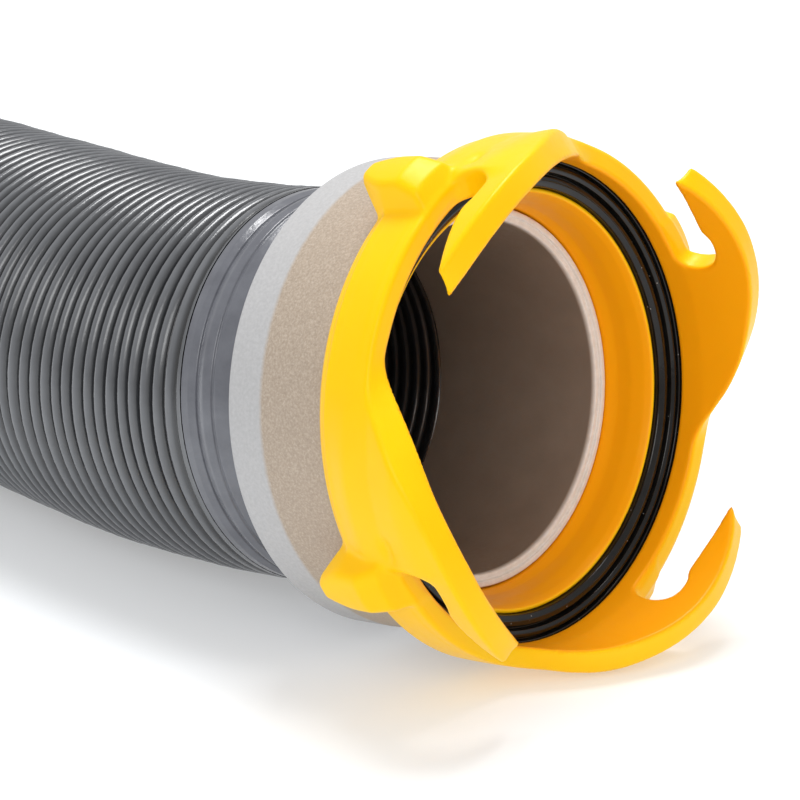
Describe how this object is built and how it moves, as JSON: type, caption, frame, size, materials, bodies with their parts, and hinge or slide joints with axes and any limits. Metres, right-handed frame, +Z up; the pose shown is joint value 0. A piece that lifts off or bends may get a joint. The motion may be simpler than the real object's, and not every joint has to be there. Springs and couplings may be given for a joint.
{
  "type": "sewer hose kit",
  "caption": "Collapsible ribbed sewer hose with a swivel bayonet fitting at one end and a swivel lug fitting at the other, lying compressed.",
  "frame": {"origin": "centre of the bayonet ring's mouth plane, on the swivel axis", "axes": "+X along the hose's straight run towards its bayonet end, +Z up, +Y to the left of a viewer who looks along +X"},
  "size_m": [1.0069, 0.1278, 0.1157],
  "materials": {
    "ring_plastic": "satin yellow",
    "gasket_rubber": "smooth black",
    "fitting_plastic": "fine spark-eroded taupe",
    "ring_steel": "plain",
    "cuff_vinyl": "glossy grey",
    "hose_vinyl": "satin grey"
  },
  "bodies": {
    "bayonet_end": {"bayonet_sleeve": "fitting_plastic", "bayonet_swivel_seal": "gasket_rubber", "bayonet_retaining_ring": "ring_steel", "bayonet_collar": "fitting_plastic", "bayonet_cuff": "cuff_vinyl", "hose": "hose_vinyl"},
    "bayonet_swivel_ring": {"bayonet_ring": "ring_plastic", "bayonet_gasket": "gasket_rubber"},
    "lug_end": {"lug_cuff": "cuff_vinyl", "lug_collar": "fitting_plastic", "lug_retaining_ring": "ring_steel", "lug_swivel_seal": "gasket_rubber", "lug_sleeve": "fitting_plastic"},
    "lug_swivel_ring": {"lug_ring": "ring_plastic"}
  },
  "joints": [
    {"name": "bayonet_swivel", "type": "hinge", "parent": "bayonet_end", "child": "bayonet_swivel_ring", "pos_m": [0, 0, 0], "axis": [0.9818, 0.138, 0.1305], "continuous": true},
    {"name": "hose_stretch", "type": "slide", "parent": "bayonet_end", "child": "lug_end", "axis": [-1, 0, 0], "range_m": [0, 2.05], "deforming": ["hose"]},
    {"name": "lug_swivel", "type": "hinge", "parent": "lug_end", "child": "lug_swivel_ring", "pos_m": [-0.95231, -0.01429, 0], "axis": [-0.9914, 0, 0.1305], "continuous": true}
  ]
}
